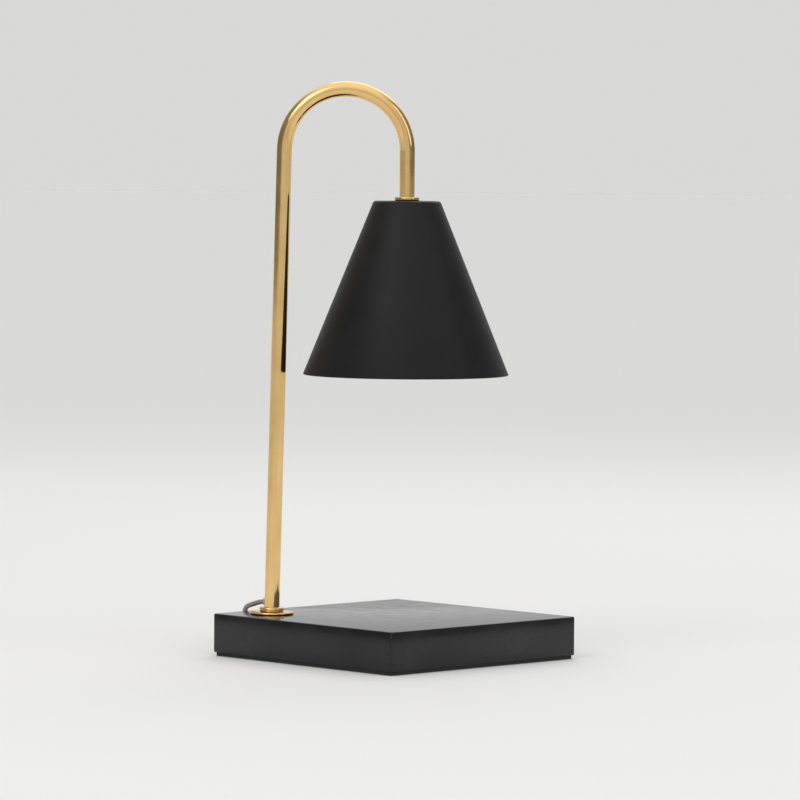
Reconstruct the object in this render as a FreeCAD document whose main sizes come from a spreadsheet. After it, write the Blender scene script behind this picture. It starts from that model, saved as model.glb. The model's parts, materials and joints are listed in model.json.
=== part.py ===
import FreeCAD, Part
import Sketcher
import math
import os

Vector = FreeCAD.Vector
doc = FreeCAD.newDocument("candle_warmer_lamp")

# Driving dimensions in millimetres and degrees, one named value each
SIZES = {
    "stoneSide": 135.0, "stoneHeight": 20.5, "stoneCorner": 1.5, "stoneEdge": 0.8,
    "padThickness": 1.7, "padInset": 1.0, "padSeat": 5.0,
    "footReach": 64.5, "neckReach": 5.1, "poleLean": 1.2, "archHeight": 266.0,
    "tubeRadius": 4.0, "tubeWall": 1.0, "boreClear": 0.1,
    "wellRadius": 13.0, "wellDepth": 10.0, "stoneBore": 4.9,
    "flangeRadius": 11.6, "flangeThickness": 1.3, "hubRadius": 6.5, "hubHeight": 2.3,
    "footWasherRadius": 10.0, "footWasherThickness": 1.5, "springWasherRadius": 6.6,
    "springWasherThickness": 1.6, "nutFlats": 13.0, "nutHeight": 4.0,
    "seatGap": 0.05, "stackGap": 0.25,
    "cordRadius": 1.3, "cordExit": 6.3, "grommetLip": 1.0, "grommetWall": 0.7,
    "shadeTopRadius": 17.5, "shadeRimRadius": 54.0, "shadeHeight": 91.0, "shadeWall": 0.9,
    "shadeTop": 240.0, "shadeEdge": 1.2, "rimBead": 0.8,
    "collarRadius": 6.5, "collarHeight": 2.0, "neckThread": 9.0,
    "shadeWasherRadius": 8.5, "shadeWasherThickness": 1.0,
    "bracketWidth": 14.0, "bracketSpan": 28.0, "bracketDrop": 14.0, "bracketThickness": 1.2,
    "bracketTongue": 7.0, "screwInset": 3.6,
    "holderRadius": 12.5, "holderHeight": 16.0, "holderLedge": 3.9, "holderSlotDepth": 7.2,
    "lockTurn": 25.0, "slotGap": 0.3, "screwRadius": 1.25, "screwHead": 2.1,
    "leadRadius": 0.55, "leadReach": 8.5,
    "bulbRadius": 25.0, "bulbNeck": 11.0, "bulbShellLength": 34.0, "bulbBaseLength": 15.0,
    "bulbWall": 1.2, "lensThickness": 1.6, "pinRadius": 1.5, "pinHeadRadius": 2.4,
    "pinLength": 6.5, "pinHeadLength": 2.0, "pinPitch": 10.0,
    "capsuleRadius": 4.5, "capsuleLength": 20.0,
    "dimmerLength": 62.0, "dimmerWidth": 26.0, "dimmerHeight": 14.5, "dimmerWall": 1.6,
    "dimmerSplit": 7.0, "dimmerCorner": 6.0, "dimmerEdge": 1.2, "wheelRadius": 10.5, "wheelThickness": 4.0,
    "wheelBore": 3.0, "wheelGap": 0.5, "wheelShift": 8.0, "wheelTeeth": 24.0, "spindleRadius": 2.95,
    "boardThickness": 1.6, "reliefLength": 14.0, "reliefTip": 2.1, "reliefRoot": 3.4,
    "plugLength": 27.0, "plugWidth": 23.0, "plugHeight": 13.6, "plugNose": 15.0,
    "bladeLength": 17.5, "bladeWidth": 6.35, "bladeThickness": 1.5, "bladePitch": 12.7,
    "plugRelief": 20.0,
    "coilRadius": 15.6, "coilPitch": 3.05, "coilTurnsPerLayer": 2.5, "coilLayers": 4.0,
    "floorGap": 0.05,
}

sheet = doc.addObject("Spreadsheet::Sheet", "size")
for number, (alias, value) in enumerate(SIZES.items(), start=1):
    sheet.set("A%d" % number, alias)
    sheet.set("B%d" % number, repr(value))
    sheet.setAlias("B%d" % number, alias)
doc.recompute()


def size(alias):
    return float(sheet.get(alias))


def worth(expression):
    """The number that an expression on the sheet stands for now."""
    result = sheet.evalExpression(expression)
    return float(getattr(result, "Value", result))


parts = []


def keep(item, name):
    item.Label = name
    parts.append(item)
    return item


def newBody(name):
    return doc.addObject("PartDesign::Body", "body_" + name)


def originPlane(body, role):
    return [f for f in body.Origin.OriginFeatures if f.Role == role][0]


def newSketch(body, role, lift="0"):
    sketch = body.newObject("Sketcher::SketchObject", "sketch")
    sketch.AttachmentSupport = [(originPlane(body, role), "")]
    sketch.MapMode = "FlatFace"
    if lift != "0":
        sketch.setExpression(".AttachmentOffset.Base.z", lift)
    return sketch


def pin(sketch, geometry, end, across, up):
    """Hold a point of the sketch at two distances that follow the sheet."""
    for kind, axis, expression in (("DistanceX", -2, across), ("DistanceY", -1, up)):
        number = worth(expression)
        if abs(number) < 1e-9:
            sketch.addConstraint(Sketcher.Constraint("PointOnObject", geometry, end, axis))
        else:
            index = sketch.addConstraint(Sketcher.Constraint(kind, -1, 1, geometry, end, number))
            sketch.setExpression("Constraints[%d]" % index, expression)


def outline(sketch, corners):
    """A closed outline through corners, each a pair of expressions."""
    places = [Vector(worth(x), worth(y), 0) for x, y in corners]
    first = sketch.GeometryCount
    count = len(places)
    for k in range(count):
        sketch.addGeometry(Part.LineSegment(places[k], places[(k + 1) % count]), False)
    for k in range(count):
        after = first + (k + 1) % count
        sketch.addConstraint(Sketcher.Constraint("Coincident", first + k, 2, after, 1))
    for k, (x, y) in enumerate(corners):
        pin(sketch, first + k, 1, x, y)


def ring(sketch, radius, across="0", up="0"):
    """A full circle whose radius and centre follow the sheet."""
    circle = Part.Circle(Vector(worth(across), worth(up), 0), Vector(0, 0, 1), worth(radius))
    geometry = sketch.addGeometry(circle, False)
    pin(sketch, geometry, 3, across, up)
    index = sketch.addConstraint(Sketcher.Constraint("Radius", geometry, worth(radius)))
    sketch.setExpression("Constraints[%d]" % index, radius)


def addPad(body, sketch, length):
    pad = body.newObject("PartDesign::Pad", "pad")
    pad.Profile = sketch
    pad.setExpression("Length", length)
    doc.recompute()
    return pad


def addPocket(body, sketch, length, up=True):
    before = body.Shape.Volume
    pocket = body.newObject("PartDesign::Pocket", "pocket")
    pocket.Profile = sketch
    pocket.setExpression("Length", length)
    pocket.Reversed = up
    doc.recompute()
    if not body.Shape.Volume < before - 1e-6:
        raise RuntimeError("a pocket of %s cuts nothing" % body.Name)
    return pocket


def addTurn(body, sketch):
    turned = body.newObject("PartDesign::Revolution", "turn")
    turned.Profile = sketch
    turned.ReferenceAxis = (sketch, ["V_Axis"])
    turned.Angle = 360.0
    doc.recompute()
    return turned


def addFillet(body, feature, edges, radius):
    fillet = body.newObject("PartDesign::Fillet", "fillet")
    fillet.Base = (feature, edges)
    fillet.setExpression("Radius", radius)
    doc.recompute()
    return fillet


def edgesWhere(feature, test):
    return ["Edge%d" % (k + 1) for k, edge in enumerate(feature.Shape.Edges) if test(edge)]


def turnedPart(name, corners, across="0", up="0"):
    """A turned piece: its half section on the XZ plane spun about Z, then set in place."""
    body = newBody(name)
    sketch = newSketch(body, "XZ_Plane")
    outline(sketch, corners)
    addTurn(body, sketch)
    body.setExpression(".Placement.Base.x", across)
    body.setExpression(".Placement.Base.z", up)
    return keep(body, name)


def solidPart(name, shape):
    piece = doc.addObject("Part::Feature", "solid_" + name)
    piece.Shape = shape
    return keep(piece, name)


# Heights and places that several pieces share
stoneTop = "(size.padThickness + size.stoneHeight)"
halfDiagonal = size("stoneSide") / math.sqrt(2.0)
lean = math.radians(size("poleLean"))
leanAcross = math.sin(lean)
leanUp = math.cos(lean)
stoneTopZ = size("padThickness") + size("stoneHeight")
shadeTopZ = size("shadeTop")

# The arch is tangent to the leaning pole and to the upright neck
archRadius = (
    (size("neckReach") + size("footReach")) * leanUp
    - (size("archHeight") - stoneTopZ) * leanAcross
) / (1.0 + leanUp)
footPoint = Vector(-size("footReach"), 0, stoneTopZ)
poleAxis = Vector(leanAcross, 0, leanUp)
archCentre = Vector(size("neckReach") - archRadius, 0, size("archHeight"))
poleTop = archCentre + Vector(-leanUp, 0, leanAcross) * archRadius
archCrown = archCentre + Vector(-math.sin(lean / 2), 0, math.cos(lean / 2)) * archRadius
neckTop = archCentre + Vector(archRadius, 0, 0)
neckEnd = Vector(size("neckReach"), 0, shadeTopZ - size("neckThread"))
flexEnd = neckEnd - Vector(0, 0, 1)
footEnd = footPoint - poleAxis * (size("stoneHeight") - 1.5)


def alongPole(distance):
    return footPoint + poleAxis * distance


# Stone slab, set cornerwise, with the pole's bore and the fixing well below
def makeStone():
    body = newBody("base_stone")
    sketch = newSketch(body, "XY_Plane")
    half = "size.stoneSide / 2"
    outline(sketch, [("-" + half, "-" + half), (half, "-" + half), (half, half), ("-" + half, half)])
    block = addPad(body, sketch, "size.stoneHeight")
    upright = edgesWhere(block, lambda e: abs(e.BoundBox.ZLength - size("stoneHeight")) < 0.01)
    corners = addFillet(body, block, upright, "size.stoneCorner")
    height = size("stoneHeight")
    rims = edgesWhere(corners, lambda e: e.BoundBox.ZLength < 0.01 and abs(e.BoundBox.ZMin - height) < 0.01)
    addFillet(body, corners, rims, "size.stoneEdge")
    across = "-size.footReach * cos(45)"
    well = newSketch(body, "XY_Plane")
    ring(well, "size.wellRadius", across, across.replace("-size", "size"))
    addPocket(body, well, "size.wellDepth")
    bore = newSketch(body, "XY_Plane")
    ring(bore, "size.stoneBore", across, across.replace("-size", "size"))
    addPocket(body, bore, "size.stoneHeight + 1")
    body.Placement = FreeCAD.Placement(
        Vector(0, 0, size("padThickness")), FreeCAD.Rotation(Vector(0, 0, 1), 45)
    )
    body.setExpression(".Placement.Base.z", "size.padThickness")
    return keep(body, "base_stone")


# Foam pad under the stone, inset from its edges
def makePad():
    body = newBody("base_pad")
    sketch = newSketch(body, "XY_Plane")
    half = "(size.stoneSide / 2 - size.padInset)"
    outline(sketch, [("-" + half, "-" + half), (half, "-" + half), (half, half), ("-" + half, half)])
    sheetPad = addPad(body, sketch, "size.padThickness")
    thickness = size("padThickness")
    upright = edgesWhere(sheetPad, lambda e: abs(e.BoundBox.ZLength - thickness) < 0.01)
    addFillet(body, sheetPad, upright, "size.stoneCorner")
    body.Placement = FreeCAD.Placement(Vector(), FreeCAD.Rotation(Vector(0, 0, 1), 45))
    return keep(body, "base_pad")


def bentRod(radius):
    """A round bar along the leaning pole, the arch and the neck."""
    upright = Part.makeCylinder(radius, (poleTop - footEnd).Length, footEnd, poleAxis)
    section = Part.Face(Part.Wire([Part.Circle(neckTop, Vector(0, 0, 1), radius).toShape()]))
    arch = section.revolve(archCentre, Vector(0, -1, 0), 180 - size("poleLean"))
    neck = Part.makeCylinder(radius, neckTop.z - neckEnd.z, neckEnd, Vector(0, 0, 1))
    return upright.fuse([arch, neck])


# Bent tube: leaning pole, arch and neck, with the cord's side hole
def makePole():
    tube = bentRod(size("tubeRadius")).cut(bentRod(size("tubeRadius") - size("tubeWall")))
    hole = Part.makeCylinder(
        size("cordRadius") + size("grommetWall"), 3 * size("tubeRadius"), exitCentre, exitDirection
    )
    return solidPart("pole", tube.cut(hole).removeSplitter())


exitDirection = Vector(-1, 1, 0).normalize()
exitCentre = alongPole(size("cordExit"))


# Rubber bush in the side hole, with a lip outside the tube
def makeGrommet():
    outer = size("cordRadius") + size("grommetWall") - 0.02
    start = size("tubeRadius") - size("tubeWall") - 0.3
    reach = size("tubeRadius") + size("grommetLip") - start
    sleeve = Part.makeCylinder(outer, reach, exitCentre + exitDirection * start, exitDirection)
    lipStart = size("tubeRadius") - 0.35
    lip = Part.makeCylinder(
        outer + 0.3, size("tubeRadius") + size("grommetLip") - lipStart,
        exitCentre + exitDirection * lipStart, exitDirection,
    )
    lip = lip.cut(Part.makeCylinder(size("tubeRadius") + 0.03, 20, exitCentre - poleAxis * 10, poleAxis))
    bush = sleeve.fuse(lip)
    bore = Part.makeCylinder(size("cordRadius") + 0.03, 20, exitCentre, exitDirection)
    return solidPart("cord_grommet", bush.cut(bore).removeSplitter())


def washerCorners(inner, outer, height):
    return [(inner, "0"), (outer, "0"), (outer, height), (inner, height)]


def hexNut(name, flats, bore, height, centre, axis):
    """A hexagon nut with chamfered corners and a plain bore."""
    reach = flats / math.cos(math.radians(30)) / 2
    corners = [Vector(reach * math.cos(math.radians(60 * k)), reach * math.sin(math.radians(60 * k)), 0)
               for k in range(7)]
    block = Part.Face(Part.makePolygon(corners)).extrude(Vector(0, 0, height))
    slope = reach - flats / 2
    cone = Part.makeCone(flats / 2 + 0.1 + height, flats / 2 + 0.1, height).fuse(
        Part.makeCylinder(flats / 2 + 0.1 + slope, height - slope * 0.6)
    )
    nut = block.common(cone).cut(Part.makeCylinder(bore, height))
    nut.Placement = FreeCAD.Placement(centre, FreeCAD.Rotation(Vector(0, 0, 1), axis))
    return solidPart(name, nut)


# Fixing below the stone: washer, split washer and nut on the pole's threaded foot
def makeFootFixing():
    roof = size("padThickness") + size("wellDepth")
    place = "-size.footReach"
    slack = "(size.tubeRadius + 5 * size.boreClear)"
    turnedPart(
        "foot_washer", washerCorners(slack, "size.footWasherRadius", "size.footWasherThickness"),
        place, "size.padThickness + size.wellDepth - size.footWasherThickness - size.seatGap",
    )
    springTop = roof - size("footWasherThickness") - size("seatGap") - size("stackGap")
    thick = size("springWasherThickness")
    split = Part.makeCylinder(size("springWasherRadius"), thick).cut(
        Part.makeCylinder(size("tubeRadius") + 0.3, thick)
    )
    gap = Part.makeBox(10, 1.0, 4, Vector(0, -0.5, -1))
    split = split.cut(gap)
    centre = footPoint + poleAxis * (springTop - thick - stoneTopZ)
    split.Placement = FreeCAD.Placement(centre, FreeCAD.Rotation(Vector(0, 0, 1), poleAxis))
    solidPart("foot_spring_washer", split)
    nutCentre = centre - poleAxis * (size("nutHeight") + 0.02)
    hexNut("foot_nut", size("nutFlats"), size("tubeRadius") + 0.03, size("nutHeight"), nutCentre, poleAxis)


# Thin round flange and the raised ring on it, at the foot of the pole
def makeFootTrim():
    bore = "(size.tubeRadius + size.boreClear)"
    edge = "(size.flangeThickness / 2)"
    turnedPart("pole_flange", [
        (bore, "0"), ("size.flangeRadius", "0"), ("size.flangeRadius", edge),
        ("size.flangeRadius - " + edge, "size.flangeThickness"), (bore, "size.flangeThickness"),
    ], "-size.footReach", stoneTop + " + size.seatGap / 2")
    lip = "(size.hubHeight * 0.22)"
    turnedPart("pole_hub", [
        (bore, "0"), ("size.hubRadius - " + lip, "0"), ("size.hubRadius", lip),
        ("size.hubRadius", "size.hubHeight - " + lip), ("size.hubRadius - " + lip, "size.hubHeight"),
        (bore, "size.hubHeight"),
    ], "-size.footReach", stoneTop + " + size.flangeThickness + size.seatGap")


# Spun shade: flat top with a bore, straight cone, small bead at the rim, open below
def makeShade():
    run = "((size.shadeRimRadius - size.shadeTopRadius) / size.shadeHeight)"
    inner = "(size.shadeWall * sqrt(1 + %s * %s))" % (run, run)
    bore = "(size.tubeRadius + size.boreClear)"
    edge = "size.shadeEdge"
    foot = "(-size.shadeHeight)"
    bead = "size.rimBead"
    corners = [
        (bore, "0"),
        ("size.shadeTopRadius - %s * 0.6" % edge, "0"),
        ("size.shadeTopRadius + %s * %s * 0.6" % (edge, run), "-%s * 0.6" % edge),
        ("size.shadeRimRadius", foot),
        ("size.shadeRimRadius - %s - %s" % (inner, bead), foot),
        ("size.shadeRimRadius - %s - %s" % (inner, bead), foot + " + %s" % bead),
        ("size.shadeRimRadius - %s - %s * %s * 2" % (inner, run, bead), foot + " + 2 * %s" % bead),
        ("size.shadeTopRadius - %s + %s * size.shadeWall" % (inner, run), "-size.shadeWall"),
        (bore, "-size.shadeWall"),
    ]
    turnedPart("shade", corners, "size.neckReach", "size.shadeTop")


# What clamps the shade to the neck: collar above, washer and nut below
def makeShadeFixing():
    bore = "(size.tubeRadius + size.boreClear / 2)"
    lip = "(size.collarHeight * 0.25)"
    turnedPart("shade_collar", [
        (bore, "0"), ("size.collarRadius", "0"), ("size.collarRadius", "size.collarHeight - " + lip),
        ("size.collarRadius - " + lip, "size.collarHeight"), (bore, "size.collarHeight"),
    ], "size.neckReach", "size.shadeTop + size.seatGap")
    slack = "(size.tubeRadius + size.boreClear)"
    turnedPart(
        "shade_washer", washerCorners(slack, "size.shadeWasherRadius", "size.shadeWasherThickness"),
        "size.neckReach", "size.shadeTop - size.shadeWall - size.shadeWasherThickness - size.seatGap",
    )
    nutTop = bracketTopZ - size("bracketThickness") - size("seatGap")
    centre = Vector(size("neckReach"), 0, nutTop - size("nutHeight"))
    hexNut("shade_nut", size("nutFlats"), size("tubeRadius") + 0.03, size("nutHeight"), centre,
           Vector(0, 0, 1))


bracketTopZ = shadeTopZ - size("shadeWall") - size("shadeWasherThickness") - 2 * size("seatGap")
holderTopZ = bracketTopZ - size("bracketDrop")


# Folded steel strap that hangs under the washer and carries the lamp holder
def makeBracket():
    wide = size("bracketWidth")
    span = size("bracketSpan")
    thick = size("bracketThickness")
    drop = size("bracketDrop")
    half = span / 2
    tongue = size("bracketTongue")
    left = Part.makePolygon([
        Vector(-half, 0, 0), Vector(half, 0, 0), Vector(half, 0, -drop), Vector(half - tongue, 0, -drop),
        Vector(half - tongue, 0, -drop + thick), Vector(half - thick, 0, -drop + thick),
        Vector(half - thick, 0, -thick), Vector(-half + thick, 0, -thick),
        Vector(-half + thick, 0, -drop + thick), Vector(-half + tongue, 0, -drop + thick),
        Vector(-half + tongue, 0, -drop), Vector(-half, 0, -drop), Vector(-half, 0, 0),
    ])
    strap = Part.Face(left).extrude(Vector(0, wide, 0))
    strap.translate(Vector(0, -wide / 2, 0))
    folds = [e for e in strap.Edges
             if e.BoundBox.YLength > wide - 0.1 and abs(abs(e.BoundBox.Center.x) - half) < 0.01
             and e.BoundBox.Center.z > -0.01]
    strap = strap.makeFillet(thick * 0.9, folds)
    strap = strap.cut(Part.makeCylinder(size("tubeRadius") + size("boreClear"), 10, Vector(0, 0, -5)))
    for side in (-1, 1):
        hole = Part.makeCylinder(size("screwRadius") + 0.15, 10, Vector(side * screwReach, 0, -drop - 5))
        strap = strap.cut(hole)
    strap.translate(Vector(size("neckReach"), 0, bracketTopZ))
    return solidPart("holder_bracket", strap)


screwReach = size("bracketSpan") / 2 - size("screwInset")


def arcSlot(halfWidth, depth):
    """An arc slot about the holder's axis, with round ends, as long as the bulb's turn."""
    pitch = size("pinPitch") / 2
    sweep = size("lockTurn")
    slots = None
    for side in (0, 180):
        outer = Part.makeCylinder(pitch + halfWidth, depth, Vector(), Vector(0, 0, 1), sweep)
        piece = outer.cut(Part.makeCylinder(pitch - halfWidth, depth))
        piece.rotate(Vector(), Vector(0, 0, 1), side - sweep)
        for turn in (side, side - sweep):
            angle = math.radians(turn)
            at = Vector(pitch * math.cos(angle), pitch * math.sin(angle), 0)
            piece = piece.fuse(Part.makeCylinder(halfWidth, depth, at))
        slots = piece if slots is None else slots.fuse(piece)
    return slots.removeSplitter()


def lockSlots():
    """Keyholes: wide entries for the pins' heads, then a narrow arc under a ledge."""
    pitch = size("pinPitch") / 2
    wide = size("pinHeadRadius") + size("slotGap")
    slots = arcSlot(size("pinRadius") + size("slotGap"), size("holderLedge"))
    above = arcSlot(wide, size("holderSlotDepth") - size("holderLedge"))
    above.translate(Vector(0, 0, size("holderLedge")))
    slots = slots.fuse(above)
    for side in (0, 180):
        angle = math.radians(side - size("lockTurn"))
        at = Vector(pitch * math.cos(angle), pitch * math.sin(angle), 0)
        slots = slots.fuse(Part.makeCylinder(wide, size("holderSlotDepth"), at))
    return slots.removeSplitter()


# Round ceramic holder with two arc slots for the bulb's pins and two wings for the screws
def makeHolder():
    height = size("holderHeight")
    disc = Part.makeCylinder(size("holderRadius"), height, Vector(0, 0, -height))
    wing = Part.makeBox(2 * screwReach + 7, 7, 5, Vector(-screwReach - 3.5, -3.5, -5))
    disc = disc.fuse(wing).removeSplitter()
    slots = lockSlots()
    slots.translate(Vector(0, 0, -height))
    disc = disc.cut(slots)
    for side in (-1, 1):
        disc = disc.cut(Part.makeCylinder(size("screwRadius") + 0.1, 8, Vector(side * screwReach, 0, -6)))
        bore = Part.makeCylinder(size("leadRadius") + 0.05, 7, Vector(0, side * size("leadReach"), -6.05))
        disc = disc.cut(bore)
    disc.translate(Vector(size("neckReach"), 0, holderTopZ - size("seatGap")))
    return solidPart("lamp_holder", disc)


# Two screws from above through the strap's tongues into the holder's wings
def makeHolderScrews():
    group = []
    for side in (-1, 1):
        at = Vector(size("neckReach") + side * screwReach, 0, holderTopZ + size("bracketThickness") + 0.03)
        shank = Part.makeCylinder(size("screwRadius"), 5.5, at - Vector(0, 0, 5.5))
        head = Part.makeCylinder(size("screwHead"), 1.6, at)
        slot = Part.makeBox(6, 0.6, 1, at + Vector(-3, -0.3, 0.9))
        group.append(shank.fuse(head).removeSplitter().cut(slot))
    return solidPart("holder_screws", Part.makeCompound(group))


# Spring contacts at the bottom of the slots and the two leads that leave the holder's top
def makeContactsAndLeads():
    contacts = []
    leads = []
    roofZ = holderTopZ - size("seatGap") - size("holderHeight") + size("holderSlotDepth")
    pitch = size("pinPitch") / 2
    for side in (-1, 1):
        at = Vector(size("neckReach") + side * pitch, 0, roofZ - 0.55)
        blade = Part.makeBox(3.0, 3.6, 0.5, at - Vector(1.5, 1.8, 0))
        contacts.append(blade)
        start = Vector(size("neckReach"), side * size("leadReach"), holderTopZ - 6)
        knee = Vector(start.x, start.y, holderTopZ + 2.6)
        elbow = Vector(start.x, side * 3.4, holderTopZ + 2.6)
        end = Vector(start.x, side * (size("leadRadius") + 0.1), flexEnd.z - 0.45)
        path = Part.makePolygon([start, knee, elbow, end])
        section = Part.Wire([Part.Circle(start, Vector(0, 0, 1), size("leadRadius")).toShape()])
        leads.append(path.makePipeShell([section], True, False, 1))
    solidPart("holder_contacts", Part.makeCompound(contacts))
    solidPart("holder_leads", Part.makeCompound(leads))


bulbTopZ = holderTopZ - size("seatGap") - size("holderHeight") - 0.3


# Reflector bulb, face down: ceramic base, glass reflector bowl, front glass, burner and pins
def makeBulb():
    neck = "size.bulbNeck"
    base = "size.bulbBaseLength"
    top = repr(bulbTopZ)
    turnedPart("bulb_base", [
        ("0", "0"), ("%s - 1" % neck, "0"), (neck, "-1"), (neck, "-%s" % base), ("0", "-%s" % base),
    ], "size.neckReach", top)
    wall = "size.bulbWall"
    far = "(-%s - size.bulbShellLength)" % base
    near = "(-%s - 0.05)" % base
    bowl = [(neck, near)]
    inside = []
    steps = 3
    for k in range(1, steps + 1):
        share = k / steps
        reach = "(%s + (size.bulbRadius - %s) * %.4f)" % (neck, neck, math.sqrt(share))
        down = "(%s + (%s - %s + 3) * %.3f)" % (near, far, near, share)
        bowl.append((reach, down))
        inside.append((reach + " - " + wall, down))
    bowl += [("size.bulbRadius", far), ("size.bulbRadius - " + wall, far)]
    inside.reverse()
    bowl += inside + [("%s - %s" % (neck, wall), near + " - " + wall), ("0", near + " - " + wall), ("0", near)]
    turnedPart("bulb_reflector", bowl, "size.neckReach", top)
    glassTop = far + " + 0.2 + size.lensThickness"
    reach = "size.bulbRadius - %s - 0.1" % wall
    turnedPart("bulb_front_glass", [
        ("0", glassTop + " - size.lensThickness"), (reach, glassTop + " - size.lensThickness"),
        (reach, glassTop), ("0", glassTop),
    ], "size.neckReach", top)
    turnedPart("bulb_burner", [
        ("0", near + " - %s - 0.05" % wall), ("size.capsuleRadius", near + " - %s - 0.05" % wall),
        ("size.capsuleRadius", near + " - size.capsuleLength + 3"), ("size.capsuleRadius * 0.5", near + " - size.capsuleLength"),
        ("0", near + " - size.capsuleLength"),
    ], "size.neckReach", top)
    pins = []
    for side in (-1, 1):
        at = Vector(size("neckReach") + side * size("pinPitch") / 2, 0, bulbTopZ)
        shank = Part.makeCylinder(size("pinRadius"), size("pinLength"), at + Vector(0, 0, 0.02))
        head = Part.makeCylinder(size("pinHeadRadius"), size("pinHeadLength"), at + Vector(0, 0, 4.5))
        pins.append(shank.fuse(head).removeSplitter())
    solidPart("bulb_pins", Part.makeCompound(pins))


def route(points):
    """Straight runs joined by tangent arcs, each as large as its two runs allow."""
    edges = []
    radii = []
    start = points[0]
    for before, corner, after in zip(points, points[1:], points[2:]):
        back = (before - corner)
        ahead = (after - corner)
        run = min(back.Length, ahead.Length)
        turn = math.pi - back.getAngle(ahead)
        cut = 0.45 * run
        radius = cut / math.tan(turn / 2)
        back = Vector(back).normalize()
        ahead = Vector(ahead).normalize()
        enter = corner + back * cut
        leave = corner + ahead * cut
        middle = Vector(back + ahead).normalize()
        depth = radius / math.cos(turn / 2) - radius
        edges.append(Part.LineSegment(start, enter).toShape())
        edges.append(Part.Arc(enter, corner + middle * depth, leave).toShape())
        radii.append(round(radius, 1))
        start = leave
    edges.append(Part.LineSegment(start, points[-1]).toShape())
    return Part.Wire(edges), radii


def faceted(centre, direction, radius, sides=6):
    """A closed polygon across the cord at its start."""
    turn = FreeCAD.Rotation(Vector(0, 0, 1), direction)
    corners = [centre + turn.multVec(Vector(radius * math.cos(2 * math.pi * k / sides),
                                            radius * math.sin(2 * math.pi * k / sides), 0))
               for k in range(sides)]
    return Part.makePolygon(corners + corners[:1])


def cordPiece(name, points):
    path, radii = route(points)
    direction = points[1] - points[0]
    section = faceted(points[0], direction, size("cordRadius"))
    tube = path.makePipeShell([section], True, False)
    area = 1.5 * math.sqrt(3) * size("cordRadius") ** 2
    share = tube.Volume / (area * path.Length)
    print(name, "length", round(path.Length, 1), "radii", radii, "volume share", round(share, 3),
          "lowest", round(tube.BoundBox.ZMin, 2))
    solidPart(name, tube)
    return path.Length


# Places behind the stone: along its two rear edges, and out from them
leftCorner = Vector(-halfDiagonal, 0, 0)
rearCorner = Vector(0, halfDiagonal, 0)
alongLeft = Vector(1, 1, 0).normalize()
outLeft = Vector(-1, 1, 0).normalize()
alongRight = Vector(1, -1, 0).normalize()
outRight = Vector(1, 1, 0).normalize()
floorZ = size("cordRadius") + size("floorGap")


def byLeft(along, out, z):
    return leftCorner + alongLeft * along + outLeft * out + Vector(0, 0, z)


def byRight(along, out, z):
    return rearCorner + alongRight * along + outRight * out + Vector(0, 0, z)


dimmerAlong = 51.0
dimmerOut = 31.0
dimmerCordZ = size("dimmerSplit") + size("floorGap")
exitAlong = (exitCentre - leftCorner).dot(alongLeft)
exitOut = (exitCentre - leftCorner).dot(outLeft)
dimmerEnd = size("dimmerLength") / 2 + size("reliefLength")

# From the pole's side hole over the stone's edge, then round the stone to the dimmer
leadRoute = [
    exitCentre + exitDirection * (size("tubeRadius") - size("tubeWall")),
    byLeft(exitAlong, exitOut + 9.0, exitCentre.z),
    byLeft(exitAlong, exitOut + 16.5, 26.9),
    byLeft(exitAlong, 2.9, 25.6),
    byLeft(exitAlong, 5.6, 18.5),
    byLeft(exitAlong + 0.4, 6.6, 9.5),
    byLeft(exitAlong + 2.5, 10.5, floorZ + 1.2),
    byLeft(exitAlong + 9, 15.5, floorZ),
    byLeft(exitAlong + 21, 15.0, floorZ),
    byLeft(exitAlong + 36, 10.0, floorZ),
    byLeft(exitAlong + 61, 7.5, floorZ),
    byLeft(exitAlong + 86, 8.5, floorZ),
    byLeft(exitAlong + 100, 8.0, floorZ),
    Vector(0.5, halfDiagonal + 13.0, floorZ),
    byRight(13, 8.5, floorZ),
    byRight(30, 7.0, floorZ),
    byRight(52, 8.0, floorZ),
    byRight(76, 7.2, floorZ),
    byRight(95, 8.0, floorZ),
    byRight(107, 12.5, floorZ + 0.5),
    byRight(112.5, 23.0, floorZ + 2.5),
    byRight(105.5, dimmerOut, dimmerCordZ),
    byRight(dimmerAlong + dimmerEnd, dimmerOut, dimmerCordZ),
]

coilCentre = byLeft(68.0, 37.0, floorZ)


def coilPlace(turns):
    """The coil's centreline after so many turns: four flat spirals, in and out by turns."""
    perLayer = size("coilTurnsPerLayer")
    pitch = size("coilPitch")
    outer = size("coilRadius") + perLayer * pitch / 2
    layer = turns / perLayer
    folded = layer % 2.0
    share = folded if folded <= 1.0 else 2.0 - folded
    radius = outer - share * perLayer * pitch
    nearest = round(layer)
    climb = 0.0
    offset = turns - nearest * perLayer
    if 0 < nearest < size("coilLayers") and abs(offset) < 0.25:
        climb = 0.5 - 0.5 * math.cos(math.pi * (offset + 0.25) / 0.5)
        level = nearest - 1 + climb
    else:
        level = math.floor(layer + 1e-9)
        level = min(level, size("coilLayers") - 1)
    angle = math.pi / 2 + 2 * math.pi * turns
    return coilCentre + Vector(radius * math.cos(angle), radius * math.sin(angle), level * pitch)


coilSides = 5
coilTurns = size("coilTurnsPerLayer") * size("coilLayers") - 0.25


def coilTangent(turns):
    step = 0.002
    return Vector(coilPlace(turns + step) - coilPlace(turns - step)).normalize()


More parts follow.
